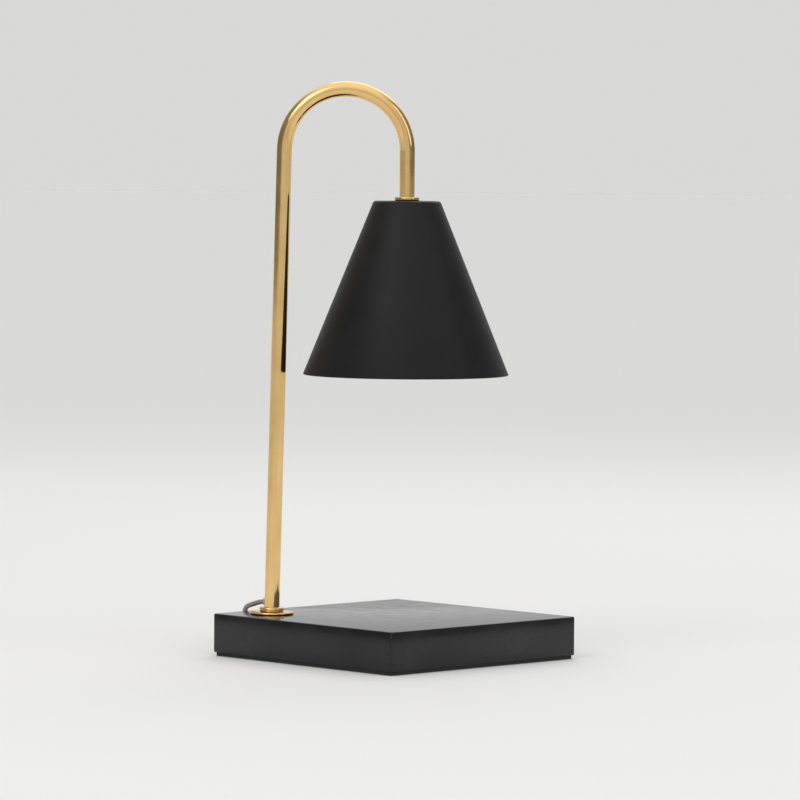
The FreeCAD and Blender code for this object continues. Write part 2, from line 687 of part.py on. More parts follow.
def biarc(start, startWay, end, endWay):
    """Two arcs in space that join two places with their directions."""
    chord = end - start
    ways = startWay + endWay
    a = 2 * (1 - startWay.dot(endWay))
    b = 2 * chord.dot(ways)
    c = -chord.dot(chord)
    if abs(a) < 1e-9:
        arm = -c / b
    else:
        arm = (-b + math.sqrt(b * b - 4 * a * c)) / (2 * a)
    first = start + startWay * arm
    last = end - endWay * arm
    joint = (first + last) * 0.5
    arcs = []
    for p, corner, q in ((start, first, joint), (joint, last, end)):
        toP = Vector(p - corner)
        toQ = Vector(q - corner)
        half = toP.getAngle(toQ) / 2
        radius = toP.Length * math.tan(half)
        middle = Vector(toP.normalize() + toQ.normalize()).normalize()
        arcs.append(Part.Arc(p, corner + middle * (radius / math.sin(half) - radius), q).toShape())
    return arcs


# The put-away length, wound in four layers as one unbroken tube
def makeCoil():
    straight = 2 * size("cordRadius")
    step = 0.25
    count = int(round(coilTurns / step))
    places = [coilPlace(k * step) for k in range(count + 1)]
    ways = [coilTangent(max(k * step, 0.003)) for k in range(count + 1)]
    ways[0] = Vector(-1, 0, 0)
    ways[-1] = Vector(0, 1, 0)
    edges = [Part.LineSegment(places[0] - ways[0] * straight, places[0]).toShape()]
    for k in range(count):
        edges += biarc(places[k], ways[k], places[k + 1], ways[k + 1])
    edges.append(Part.LineSegment(places[-1], places[-1] + ways[-1] * straight).toShape())
    path = Part.Wire(edges)
    section = faceted(places[0] - ways[0] * straight, ways[0], size("cordRadius"), coilSides)
    tube = path.makePipeShell([section], True, False)
    samples = path.discretize(Distance=1.5)
    least = min(
        (p - q).Length for i, p in enumerate(samples) for q in samples[i + 12:]
    ) - 2 * size("cordRadius")
    area = coilSides / 2 * math.sin(2 * math.pi / coilSides) * size("cordRadius") ** 2
    print("cord_coil length", round(path.Length, 1), "least gap to itself", round(least, 2),
          "volume share", round(tube.Volume / (area * path.Length), 3),
          "lowest", round(tube.BoundBox.ZMin, 2))
    solidPart("cord_coil", tube)
    return path.Length, places[0] - ways[0] * straight, places[-1] + ways[-1] * straight


plugCentre = Vector(2.0, halfDiagonal + 42.0, size("plugHeight") / 2 + size("floorGap"))


def boxed(length, width, height, corner):
    """A block with rounded upright edges, standing on its underside."""
    block = Part.makeBox(length, width, height, Vector(-length / 2, -width / 2, 0))
    upright = [e for e in block.Edges if e.BoundBox.ZLength > height - 0.01]
    return block.makeFillet(corner, upright)


def dimmerPlaced(shape):
    shape.rotate(Vector(), Vector(0, 0, 1), -45)
    shape.translate(byRight(dimmerAlong, dimmerOut, 0))
    return shape


# In-line dimmer: two shells on a split line, a wheel on its spindle, the board and the screws
def makeDimmer():
    long = size("dimmerLength")
    wide = size("dimmerWidth")
    tall = size("dimmerHeight")
    wall = size("dimmerWall")
    split = size("dimmerSplit")
    corner = size("dimmerCorner")
    base = size("floorGap")
    outer = boxed(long, wide, tall, corner)
    rims = [e for e in outer.Edges if e.BoundBox.ZLength < 0.01]
    outer = outer.makeChamfer(size("dimmerEdge"), rims)
    inner = Part.makeBox(long - 2 * wall - corner, wide - 2 * wall, tall - 2 * wall,
                         Vector(-(long - corner) / 2 + wall, -wide / 2 + wall, 0))
    inner.translate(Vector(0, 0, wall))
    shell = outer.cut(inner)
    channel = Part.makeCylinder(size("reliefTip") + 0.35, long + 2, Vector(-long / 2 - 1, 0, split),
                                Vector(1, 0, 0))
    shell = shell.cut(channel)
    shift = size("wheelShift")
    window = Part.makeCylinder(size("wheelRadius") + size("wheelGap"), size("wheelThickness") + 1.0,
                               Vector(shift, 0, wheelZ - 0.5 - size("floorGap")))
    shell = shell.cut(window)
    posts = []
    for x, y in screwSpots:
        post = Part.makeCylinder(2.4, tall - 2 * wall + 0.4, Vector(x, y, wall - 0.2))
        posts.append(post)
        shell = shell.fuse(post)
    spindleHole = Part.makeCylinder(size("spindleRadius") + 0.05, 1.0, Vector(shift, 0, wall - 1.0))
    shell = shell.cut(spindleHole).removeSplitter()
    for x, y in screwSpots:
        shell = shell.cut(Part.makeCylinder(1.05, tall - 3, Vector(x, y, -1)))
        shell = shell.cut(Part.makeCylinder(2.0, 1.4, Vector(x, y, -0.1)))
    lower = shell.common(Part.makeBox(2 * long, 2 * wide, split - 0.05, Vector(-long, -wide, 0)))
    upper = shell.common(Part.makeBox(2 * long, 2 * wide, tall, Vector(-long, -wide, split + 0.05)))
    for piece, name in ((lower, "dimmer_lower_shell"), (upper, "dimmer_upper_shell")):
        piece.translate(Vector(0, 0, base))
        solidPart(name, dimmerPlaced(piece))
    spindle = Part.makeCylinder(size("spindleRadius"), wheelZ + size("wheelThickness") - 1.2,
                                Vector(shift, 0, 1.15 + base))
    shoulder = Part.makeCylinder(size("spindleRadius") + 2, 1.5, Vector(shift, 0, wheelZ - 1.8))
    spindle = spindle.fuse(shoulder).removeSplitter()
    solidPart("dimmer_spindle", dimmerPlaced(spindle))
    teeth = []
    for k in range(2 * int(size("wheelTeeth"))):
        angle = math.pi * k / size("wheelTeeth")
        reach = size("wheelRadius") - (0.6 if k % 2 else 0.0)
        teeth.append(Vector(shift + reach * math.cos(angle), reach * math.sin(angle), wheelZ))
    wheel = Part.Face(Part.makePolygon(teeth + teeth[:1])).extrude(Vector(0, 0, size("wheelThickness")))
    wheel = wheel.cut(Part.makeCylinder(size("wheelBore"), 20, Vector(shift, 0, 0)))
    solidPart("dimmer_wheel", dimmerPlaced(wheel))
    board = Part.makeBox(long - 2 * wall - 17, wide - 2 * wall - 7, size("boardThickness"),
                         Vector(-long / 2 + wall + 8.5, -wide / 2 + wall + 3.5, wall + 0.9 + base))
    board = board.cut(Part.makeCylinder(size("spindleRadius") + 0.4, 20, Vector(shift, 0, 0)))
    solidPart("dimmer_board", dimmerPlaced(board))
    screws = []
    for x, y in screwSpots:
        head = Part.makeCylinder(1.9, 0.9, Vector(x, y, 0.25 + base))
        shank = Part.makeCylinder(0.95, tall - 6, Vector(x, y, 0.25 + base))
        cross = Part.makeBox(2.2, 0.5, 0.5, Vector(x - 1.1, y - 0.25, 0.15 + base))
        screws.append(head.fuse(shank).removeSplitter().cut(cross))
    solidPart("dimmer_screws", dimmerPlaced(Part.makeCompound(screws)))
    reliefs = []
    for side in (-1, 1):
        way = Vector(side, 0, 0)
        root = Vector(side * (long / 2 + 0.1), 0, split + base)
        cone = Part.makeCone(size("reliefRoot"), size("reliefTip"), size("reliefLength") - 0.1, root, way)
        reliefs.append(cone.cut(Part.makeCylinder(size("cordRadius") + 0.02, 40, root - way * 2, way)))
    solidPart("dimmer_strain_reliefs", dimmerPlaced(Part.makeCompound(reliefs)))
    tails = []
    for side in (-1, 1):
        way = Vector(side, 0, 0)
        start = Vector(side * (long / 2 - wall - 3.0), 0, split + base)
        stub = Part.makeCylinder(size("cordRadius"), size("reliefLength") + wall + 3.0, start, way)
        tails.append(stub)
    solidPart("dimmer_cord_tails", dimmerPlaced(Part.makeCompound(tails)))


wheelZ = size("dimmerHeight") - size("dimmerWall") - size("wheelThickness") + 2.4
screwSpots = [(-size("dimmerLength") / 2 + 5.2, 6.5), (-size("dimmerLength") / 2 + 5.2, -6.5),
              (size("dimmerLength") / 2 - 5.2, 6.5), (size("dimmerLength") / 2 - 5.2, -6.5)]


# Moulded two-blade plug with a ribbed strain relief, lying flat behind the coil
def makePlug():
    long = size("plugLength")
    wide = size("plugWidth")
    tall = size("plugHeight")
    nose = size("plugNose")
    section = [Vector(0, -nose / 2, 0), Vector(long * 0.55, -wide / 2, 0), Vector(long, -wide / 2, 0),
               Vector(long, wide / 2, 0), Vector(long * 0.55, wide / 2, 0), Vector(0, nose / 2, 0)]
    body = Part.Face(Part.makePolygon(section + section[:1])).extrude(Vector(0, 0, tall))
    body.translate(Vector(-long / 2, 0, -tall / 2))
    body = body.makeChamfer(2.0, [e for e in body.Edges if e.BoundBox.ZLength > tall - 0.01])
    body = body.makeChamfer(1.5, [e for e in body.Edges if e.BoundBox.ZLength < 0.01])
    for side in (-1, 1):
        slot = Part.makeBox(6.0, size("bladeThickness") + 0.04, size("bladeWidth") + 0.04, Vector(
            long / 2 - 6.0, side * size("bladePitch") / 2 - size("bladeThickness") / 2 - 0.02,
            -size("bladeWidth") / 2 - 0.02))
        body = body.cut(slot)
    body.translate(plugCentre)
    solidPart("plug_body", body)
    blades = []
    for side in (-1, 1):
        blade = Part.makeBox(size("bladeLength") + 5.9, size("bladeThickness"), size("bladeWidth"), Vector(
            long / 2 - 5.9, side * size("bladePitch") / 2 - size("bladeThickness") / 2,
            -size("bladeWidth") / 2))
        tip = [e for e in blade.Edges
               if e.BoundBox.XMin > long / 2 + size("bladeLength") - 0.01
               and e.BoundBox.YLength > size("bladeThickness") - 0.01]
        blade = blade.makeFillet(1.6, tip)
        hole = Part.makeCylinder(1.6, 30, Vector(long / 2 + size("bladeLength") - 4.5, -15, 0),
                                 Vector(0, 1, 0))
        blades.append(blade.cut(hole))
    group = Part.makeCompound(blades)
    group.translate(plugCentre)
    solidPart("plug_blades", group)
    root = Vector(-long / 2 - 0.05, 0, 0)
    relief = Part.makeCone(4.6, 2.3, size("plugRelief"), root, Vector(-1, 0, 0))
    for k in range(3):
        groove = Part.makeCylinder(8, 1.8, root - Vector(4.0 + 5.0 * k, 0, 0), Vector(-1, 0, 0))
        core = Part.makeCylinder(3.1 - 0.4 * k, 1.8, root - Vector(4.0 + 5.0 * k, 0, 0), Vector(-1, 0, 0))
        relief = relief.cut(groove.cut(core))
    relief = relief.cut(Part.makeCylinder(size("cordRadius") + 0.02, 8, root - Vector(size("plugRelief") - 6, 0, 0),
                                          Vector(-1, 0, 0)))
    relief.translate(plugCentre)
    solidPart("plug_strain_relief", relief)


# The flex inside the tube, from the side hole up to the holder's leads
def makeInnerFlex():
    bend = size("tubeRadius") - size("tubeWall")
    turn = FreeCAD.Rotation(Vector(0, 0, 1), poleAxis)
    rise = exitCentre + poleAxis * bend
    enter = exitCentre + exitDirection * bend
    middle = exitCentre + (exitDirection + poleAxis) * bend - (exitDirection + poleAxis) * (bend / math.sqrt(2))
    start = enter
    path = Part.Wire([
        Part.Arc(start, middle, rise).toShape(),
        Part.LineSegment(rise, poleTop).toShape(),
        Part.Arc(poleTop, archCrown, neckTop).toShape(),
        Part.LineSegment(neckTop, flexEnd).toShape(),
    ])
    section = faceted(start, exitDirection * -1, size("cordRadius"))
    return solidPart("flex_in_pole", path.makePipeShell([section], True, False))


makeStone()
makePad()
makePole()
makeGrommet()
makeFootFixing()
makeFootTrim()
makeShade()
makeShadeFixing()
makeBracket()
makeHolder()
makeHolderScrews()
makeContactsAndLeads()
makeBulb()
makeInnerFlex()
leadLength = cordPiece("cord_lead", leadRoute)
coilLength, coilStart, coilEnd = makeCoil()
linkRoute = [
    byRight(dimmerAlong - dimmerEnd, dimmerOut, dimmerCordZ),
    byRight(dimmerAlong - dimmerEnd - 8, dimmerOut, dimmerCordZ),
    byRight(dimmerAlong - dimmerEnd - 18, dimmerOut - 1.8, 3.0),
    Vector(-3, halfDiagonal + 21.5, floorZ),
    Vector(-20, halfDiagonal + 14.5, floorZ),
    Vector(-38, halfDiagonal + 5.5, floorZ),
    coilStart + Vector(9, 0, 0),
    coilStart,
]
linkLength = cordPiece("cord_link", linkRoute)
plugEntry = plugCentre - Vector(size("plugLength") / 2 + size("plugRelief") - 5.9, 0, 0)
tailRoute = [
    coilEnd,
    coilEnd + Vector(0, 6, 0),
    coilEnd + Vector(0.6, 17, -2.4),
    coilEnd + Vector(1.6, 30, -5.6),
    coilEnd + Vector(4.5, 45, -6.0),
    Vector(plugEntry.x - 14, plugEntry.y, plugEntry.z),
    plugEntry,
]
tailLength = cordPiece("cord_tail", tailRoute)
makeDimmer()
makePlug()
print("cord from lamp to dimmer", round(leadLength), "from dimmer to plug",
      round(linkLength + coilLength + tailLength), "in all",
      round(leadLength + linkLength + coilLength + tailLength + size("dimmerLength")))

doc.recompute()
for item in doc.Objects:
    if "Invalid" in item.State or "Error" in item.State:
        raise RuntimeError("%s is %s" % (item.Label, item.State))
for item in parts:
    if item.Shape.isNull() or not item.Shape.isValid():
        raise RuntimeError("%s has no valid shape" % item.Label)
os.makedirs("parts", exist_ok=True)
for item in parts:
    item.Shape.exportStep("parts/%s.step" % item.Label)
print(len(parts), "nodes written, arch radius", round(archRadius, 2))
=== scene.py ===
import bpy
import bmesh
import json
import math
from mathutils import Matrix, Vector


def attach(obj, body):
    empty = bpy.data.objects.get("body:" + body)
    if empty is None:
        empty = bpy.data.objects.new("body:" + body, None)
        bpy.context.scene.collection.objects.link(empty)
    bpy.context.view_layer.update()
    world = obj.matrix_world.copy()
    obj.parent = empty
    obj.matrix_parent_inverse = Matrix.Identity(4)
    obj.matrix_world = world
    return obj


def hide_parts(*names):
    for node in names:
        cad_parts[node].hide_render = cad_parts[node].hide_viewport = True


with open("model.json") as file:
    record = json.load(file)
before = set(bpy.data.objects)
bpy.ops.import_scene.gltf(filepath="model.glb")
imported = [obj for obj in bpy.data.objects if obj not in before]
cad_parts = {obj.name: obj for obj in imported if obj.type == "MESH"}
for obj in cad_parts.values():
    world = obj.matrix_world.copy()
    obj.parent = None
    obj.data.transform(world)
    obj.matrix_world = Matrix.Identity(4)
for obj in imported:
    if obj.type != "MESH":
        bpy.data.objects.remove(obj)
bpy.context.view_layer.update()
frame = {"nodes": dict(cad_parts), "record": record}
nodes = frame["nodes"]
scene = bpy.context.scene
mm = 0.001
print("frame loaded,", len(nodes), "nodes")

# view settings: plain
scene.view_settings.view_transform = "Standard"

# what the lamp measures, in millimetres, as in the part's source
lamp = {
    "stoneTop": 22.2, "footX": -64.5, "neckX": 5.1, "lean": math.radians(1.2), "archZ": 266.0,
    "tubeR": 4.0, "tubeWall": 1.0, "neckEnd": 231.0, "footEnd": 19.0, "cordExit": 6.3,
    "shadeTop": 240.0, "halfDiagonal": 135 / math.sqrt(2),
}
leanX, leanZ = math.sin(lamp["lean"]), math.cos(lamp["lean"])
lamp["archR"] = ((lamp["neckX"] - lamp["footX"]) * leanZ
                 - (lamp["archZ"] - lamp["stoneTop"]) * leanX) / (1 + leanZ)
poleFoot = Vector((lamp["footX"], 0, lamp["stoneTop"]))
poleWay = Vector((leanX, 0, leanZ))
archMid = Vector((lamp["neckX"] - lamp["archR"], 0, lamp["archZ"]))


# camera, at the photograph's place
photoCamera = {
    "focalPixels": 5000.0, "widePixels": 800, "sensor": 36, "distance": 2626.0,
    "down": 2.885, "turn": -0.83, "roll": 0.437, "aim": (2.2, 0.0, 135.5),
}


def makeCamera(spec):
    down, turn, roll = (math.radians(spec[k]) for k in ("down", "turn", "roll"))
    aimX, aimY, aimZ = spec["aim"]
    back = spec["distance"] * math.cos(down)
    rise = spec["distance"] * math.sin(down)
    spot = Vector((aimX, aimY - back, aimZ + rise))
    right = Vector((1, 0, 0))
    ahead = Vector((0, math.cos(down), -math.sin(down)))
    up = Vector((0, math.sin(down), math.cos(down)))
    rolledRight = right * math.cos(roll) + up * math.sin(roll)
    rolledUp = up * math.cos(roll) - right * math.sin(roll)
    swing = Matrix.Rotation(-turn, 3, "Z")
    axes = Matrix((swing @ rolledRight, swing @ rolledUp, swing @ -ahead)).transposed()
    data = bpy.data.cameras.new("photoCamera")
    data.sensor_width = spec["sensor"]
    data.lens = spec["focalPixels"] * spec["sensor"] / spec["widePixels"]
    data.clip_start, data.clip_end = 0.1, 30
    camera = bpy.data.objects.new("photoCamera", data)
    scene.collection.objects.link(camera)
    camera.matrix_world = Matrix.Translation(swing @ spot * mm) @ axes.to_4x4()
    scene.camera = camera


makeCamera(photoCamera)


# cords, on the same routes as the tubes in the part's source
def byLeft(along, out, z):
    root = math.sqrt(2)
    return Vector((-lamp["halfDiagonal"] + (along - out) / root, (along + out) / root, z))


def byRight(along, out, z):
    root = math.sqrt(2)
    return Vector(((along + out) / root, lamp["halfDiagonal"] + (out - along) / root, z))


flex = {
    "radius": 1.3, "floor": 1.35,
    "dimmerAlong": 51.0, "dimmerOut": 31.0, "dimmerEnd": 45.0, "dimmerZ": 7.05,
    "coilR": 15.6, "coilPitch": 3.05, "coilTurns": 2.5, "coilLayers": 4, "perTurn": 24,
    "climb": 0.25, "endShort": 0.25,
    "plug": (2.0, lamp["halfDiagonal"] + 42.0, 6.85), "plugBack": 27.6,
}
exitMid = poleFoot + poleWay * lamp["cordExit"]
exitWay = Vector((-1, 1, 0)).normalized()
corner = Vector((-lamp["halfDiagonal"], 0, 0))
exitAlong = (exitMid - corner).dot(Vector((1, 1, 0)).normalized())
exitOut = (exitMid - corner).dot(exitWay)
low = flex["floor"]

leadPoints = [
    exitMid + exitWay * (lamp["tubeR"] - lamp["tubeWall"]),
    byLeft(exitAlong, exitOut + 8.0, exitMid.z - 0.2),
    byLeft(exitAlong + 1.0, exitOut + 15.5, 26.4),
    byLeft(exitAlong + 3.2, 2.4, 24.2),
    byLeft(exitAlong + 3.6, 3.8, 17.5),
    byLeft(exitAlong + 4.0, 5.2, 9.5),
    byLeft(exitAlong + 6.0, 9.8, low + 1.2),
    byLeft(exitAlong + 12, 15.0, low),
    byLeft(exitAlong + 23, 15.0, low),
    byLeft(exitAlong + 37, 10.0, low),
    byLeft(exitAlong + 61, 7.5, low),
    byLeft(exitAlong + 86, 8.5, low),
    byLeft(exitAlong + 100, 8.0, low),
    Vector((0.5, lamp["halfDiagonal"] + 13.0, low)),
    byRight(13, 8.5, low),
    byRight(30, 7.0, low),
    byRight(52, 8.0, low),
    byRight(74, 7.2, low),
    byRight(92, 8.0, low),
    byRight(103, 12.0, low + 0.5),
    byRight(107, 21.5, low + 2.5),
    byRight(102, flex["dimmerOut"] - 0.3, flex["dimmerZ"]),
    byRight(flex["dimmerAlong"] + flex["dimmerEnd"], flex["dimmerOut"], flex["dimmerZ"]),
]

coilMid = byLeft(68.0, 37.0, low)


def coilPoint(turns):  # a place on the coil's centreline
    outer = flex["coilR"] + flex["coilTurns"] * flex["coilPitch"] / 2
    layer = turns / flex["coilTurns"]
    share = layer % 2.0
    share = share if share <= 1 else 2 - share
    radius = outer - share * flex["coilTurns"] * flex["coilPitch"]
    nearest = round(layer)
    offset = turns - nearest * flex["coilTurns"]
    climb = flex["climb"]  # the flex rises a layer within this share of a turn to either side
    if 0 < nearest < flex["coilLayers"] and abs(offset) < climb:
        level = nearest - 0.5 - 0.5 * math.cos(math.pi * (offset + climb) / (2 * climb))
    else:
        level = min(math.floor(layer + 1e-9), flex["coilLayers"] - 1)
    angle = math.pi / 2 + 2 * math.pi * turns
    across = Vector((radius * math.cos(angle), radius * math.sin(angle), 0))
    return coilMid + across + Vector((0, 0, level * flex["coilPitch"]))


allTurns = flex["coilTurns"] * flex["coilLayers"] - flex["endShort"]
coilStart = coilPoint(0) + Vector((2 * flex["radius"], 0, 0))
coilEnd = coilPoint(allTurns) + Vector((0, 2 * flex["radius"], 0))
plugMid = Vector(flex["plug"])
plugEntry = plugMid - Vector((flex["plugBack"], 0, 0))  # inside the strain relief
dimmerLeft = flex["dimmerAlong"] - flex["dimmerEnd"]
tailPoints = [
    byRight(dimmerLeft, flex["dimmerOut"], flex["dimmerZ"]),
    byRight(dimmerLeft - 8, flex["dimmerOut"], flex["dimmerZ"]),
    byRight(dimmerLeft - 18, flex["dimmerOut"] - 1.8, 3.0),
    Vector((-3, lamp["halfDiagonal"] + 21.5, low)),
    Vector((-20, lamp["halfDiagonal"] + 14.5, low)),
    Vector((-38, lamp["halfDiagonal"] + 5.5, low)),
    coilStart + Vector((9, 0, 0)),
]
tailPoints += [coilPoint(k / flex["perTurn"]) for k in range(int(allTurns * flex["perTurn"]) + 1)]
tailPoints += [
    coilEnd + Vector((0, 6, 0)),
    coilEnd + Vector((0.6, 17, -2.4)),
    coilEnd + Vector((1.6, 30, -5.6)),
    coilEnd + Vector((4.5, 45, -6.0)),
    Vector((plugEntry.x - 14, plugEntry.y, plugEntry.z)),
    plugEntry,
]


def makeFlex(name, points):
    data = bpy.data.curves.new(name, "CURVE")
    data.dimensions = "3D"
    data.bevel_depth = 1.0  # the thickness is in the points, which also keeps the curve's box tight
    data.bevel_resolution = 5
    data.resolution_u = 5
    data.use_fill_caps = True
    spline = data.splines.new("NURBS")
    spline.points.add(len(points) - 1)
    for spot, place in zip(spline.points, points):
        spot.co = (place.x * mm, place.y * mm, place.z * mm, 1)
        spot.radius = flex["radius"] * mm
    spline.order_u = 3
    spline.use_endpoint_u = True
    spline.use_smooth = True
    piece = bpy.data.objects.new(name, data)
    scene.collection.objects.link(piece)
    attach(piece, "lamp")
    return piece


leadFlex = makeFlex("lead_flex", leadPoints)
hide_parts("cord_lead")
tailFlex = makeFlex("tail_flex", tailPoints)
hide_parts("cord_link", "cord_coil", "cord_tail")


# shaping helpers
def deselectAll():
    if bpy.context.mode != "OBJECT":
        bpy.ops.object.mode_set(mode="OBJECT")
    bpy.ops.object.select_all(action="DESELECT")


def finishPiece(name, body, replaced, material, smoothAngle=35):
    piece = bpy.context.active_object
    piece.name = name
    deselectAll()
    piece.select_set(True)
    bpy.context.view_layer.objects.active = piece
    bpy.ops.object.transform_apply(location=True, rotation=True, scale=True)
    bpy.ops.object.mode_set(mode="EDIT")
    bpy.ops.mesh.select_all(action="SELECT")
    bpy.ops.mesh.remove_doubles(threshold=1e-7)
    bpy.ops.mesh.normals_make_consistent(inside=False)
    bpy.ops.object.mode_set(mode="OBJECT")
    bpy.ops.object.shade_smooth_by_angle(angle=math.radians(smoothAngle))
    piece.data.materials.clear()
    piece.data.materials.append(material)
    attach(piece, body)
    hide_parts(*replaced)
    deselectAll()


def applyTo(piece, modifier):
    bpy.context.view_layer.objects.active = piece
    bpy.ops.object.modifier_apply(modifier=modifier.name)


def bevelEdges(piece, width, segments, angle):
    bevel = piece.modifiers.new("bevel", "BEVEL")
    bevel.width = width * mm
    bevel.segments = segments
    bevel.limit_method = "ANGLE"
    bevel.angle_limit = math.radians(angle)
    bevel.harden_normals = False
    applyTo(piece, bevel)


def giveWall(piece, thickness, even=True):
    wall = piece.modifiers.new("wall", "SOLIDIFY")
    wall.thickness = thickness * mm
    wall.offset = -1
    wall.use_even_offset = even
    applyTo(piece, wall)


def cutAway(piece, tool):
    cut = piece.modifiers.new("cut", "BOOLEAN")
    cut.object = tool
    cut.operation = "DIFFERENCE"
    cut.solver = "EXACT"
    applyTo(piece, cut)
    bpy.data.objects.remove(tool)
    bpy.context.view_layer.objects.active = piece


def facesWhere(piece, test):  # in edit mode; the test takes a face's normal
    bpy.ops.mesh.select_mode(type="FACE")
    bpy.ops.mesh.select_all(action="DESELECT")
    mesh = bmesh.from_edit_mesh(piece.data)
    for face in mesh.faces:
        if test(face.normal):
            face.select_set(True)
    bmesh.update_edit_mesh(piece.data)


# materials
def newMaterial(name):
    material = bpy.data.materials.new(name)
    material.use_nodes = True
    tree = material.node_tree
    tree.nodes.clear()
    out = tree.nodes.new("ShaderNodeOutputMaterial")
    shader = tree.nodes.new("ShaderNodeBsdfPrincipled")
    tree.links.new(shader.outputs[0], out.inputs[0])
    return material, tree, shader


def objectNoise(tree, scale, detail=4.0, stretch=(1, 1, 1), roughness=0.55):
    where = tree.nodes.new("ShaderNodeTexCoord")
    mapping = tree.nodes.new("ShaderNodeMapping")
    mapping.inputs["Scale"].default_value = stretch
    noise = tree.nodes.new("ShaderNodeTexNoise")
    noise.inputs["Scale"].default_value = scale
    noise.inputs["Detail"].default_value = detail
    noise.inputs["Roughness"].default_value = roughness
    tree.links.new(where.outputs["Object"], mapping.inputs[0])
    tree.links.new(mapping.outputs[0], noise.inputs["Vector"])
    return noise


def spread(tree, source, low, high, fromLow=0.3, fromHigh=0.7):
    reach = tree.nodes.new("ShaderNodeMapRange")
    reach.inputs["From Min"].default_value = fromLow
    reach.inputs["From Max"].default_value = fromHigh
    reach.inputs["To Min"].default_value = low
    reach.inputs["To Max"].default_value = high
    tree.links.new(source, reach.inputs["Value"])
    return reach.outputs[0]


def ramp(tree, source, stops):
    colours = tree.nodes.new("ShaderNodeValToRGB")
    while len(colours.color_ramp.elements) < len(stops):
        colours.color_ramp.elements.new(0.5)
    for element, (place, colour) in zip(colours.color_ramp.elements, stops):
        element.position = place
        element.color = (*colour, 1)
    tree.links.new(source, colours.inputs[0])
    return colours.outputs[0]


def addBump(tree, shader, source, strength, distance):
    bump = tree.nodes.new("ShaderNodeBump")
    bump.inputs["Strength"].default_value = strength
    bump.inputs["Distance"].default_value = distance * mm
    tree.links.new(source, bump.inputs["Height"])
    tree.links.new(bump.outputs[0], shader.inputs["Normal"])


def metal(name, colour, darker, rough, grain, stretch=(1, 1, 1), bumpBy=0.02, wear=0.06):
    material, tree, shader = newMaterial(name)
    shader.inputs["Metallic"].default_value = 1.0
    cloud = objectNoise(tree, 60, 3)
    tint = ramp(tree, cloud.outputs[0], [(0.3, darker), (0.65, colour)])
    tree.links.new(tint, shader.inputs["Base Color"])
    marks = objectNoise(tree, grain, 6, stretch)
    tree.links.new(spread(tree, marks.outputs[0], rough, rough + wear), shader.inputs["Roughness"])
    addBump(tree, shader, marks.outputs[0], bumpBy, 0.05)
    return material


def plastic(name, colour, lighter, rough, grain, bumpBy=0.25, depth=0.03, coat=0.0, shine=0.5):
    material, tree, shader = newMaterial(name)
    texture = objectNoise(tree, grain, 5)
    patch = objectNoise(tree, 45, 3)
    tint = ramp(tree, patch.outputs[0], [(0.3, colour), (0.7, lighter)])
    tree.links.new(tint, shader.inputs["Base Color"])
    dull = spread(tree, patch.outputs[0], rough - 0.05, rough + 0.06)
    tree.links.new(dull, shader.inputs["Roughness"])
    shader.inputs["Specular IOR Level"].default_value = shine
    shader.inputs["Coat Weight"].default_value = coat
    shader.inputs["Coat Roughness"].default_value = 0.2
    addBump(tree, shader, texture.outputs[0], bumpBy, depth)
    return material


def stoneMaterial():  # near-black ground, grey clouding, a few hair veins, tiny pits
    material, tree, shader = newMaterial("blackStone")
    cloud = objectNoise(tree, 22, 8, (1, 1, 1), 0.62)
    ground = ramp(tree, cloud.outputs[0], [
        (0.35, (0.006, 0.006, 0.0065)), (0.62, (0.015, 0.015, 0.016)), (0.8, (0.035, 0.034, 0.033))])
    where = tree.nodes.new("ShaderNodeTexCoord")
    warp = objectNoise(tree, 14, 6)
    mixPlace = tree.nodes.new("ShaderNodeMix")
    mixPlace.data_type = "VECTOR"
    mixPlace.inputs["Factor"].default_value = 0.12
    tree.links.new(where.outputs["Object"], mixPlace.inputs[4])
    tree.links.new(warp.outputs["Color"], mixPlace.inputs[5])
    cells = tree.nodes.new("ShaderNodeTexVoronoi")
    cells.feature = "DISTANCE_TO_EDGE"
    cells.inputs["Scale"].default_value = 17
    tree.links.new(mixPlace.outputs[1], cells.inputs["Vector"])
    vein = ramp(tree, cells.outputs["Distance"], [
        (0.0, (1, 1, 1)), (0.012, (0.25, 0.25, 0.25)), (0.03, (0, 0, 0))])
    broken = objectNoise(tree, 30, 4)
    part = tree.nodes.new("ShaderNodeMath")
    part.operation = "MULTIPLY"
    tree.links.new(vein, part.inputs[0])
    tree.links.new(spread(tree, broken.outputs[0], 0, 0.3, 0.52, 0.75), part.inputs[1])
    mixed = tree.nodes.new("ShaderNodeMix")
    mixed.data_type = "RGBA"
    tree.links.new(part.outputs[0], mixed.inputs["Factor"])
    tree.links.new(ground, mixed.inputs[6])
    mixed.inputs[7].default_value = (0.06, 0.058, 0.055, 1)
    tree.links.new(mixed.outputs[2], shader.inputs["Base Color"])
    shader.inputs["Specular IOR Level"].default_value = 0.36
    polish = objectNoise(tree, 90, 5)
    tree.links.new(spread(tree, polish.outputs[0], 0.1, 0.19), shader.inputs["Roughness"])
    grain = objectNoise(tree, 900, 3)
    addBump(tree, shader, grain.outputs[0], 0.03, 0.02)
    return material


def flexMaterial():  # clear sheath, with the cores darker inside it
    material, tree, shader = newMaterial("clearFlex")
    cores = objectNoise(tree, 70, 2)
    tint = ramp(tree, cores.outputs[0], [(0.35, (0.3, 0.24, 0.18)), (0.65, (0.4, 0.33, 0.26))])
    tree.links.new(tint, shader.inputs["Base Color"])
    shader.inputs["Transmission Weight"].default_value = 0.3
    shader.inputs["IOR"].default_value = 1.5
    shader.inputs["Coat Weight"].default_value = 0.6
    shader.inputs["Coat Roughness"].default_value = 0.08
    dull = objectNoise(tree, 160, 2)
    tree.links.new(spread(tree, dull.outputs[0], 0.24, 0.34), shader.inputs["Roughness"])
    return material


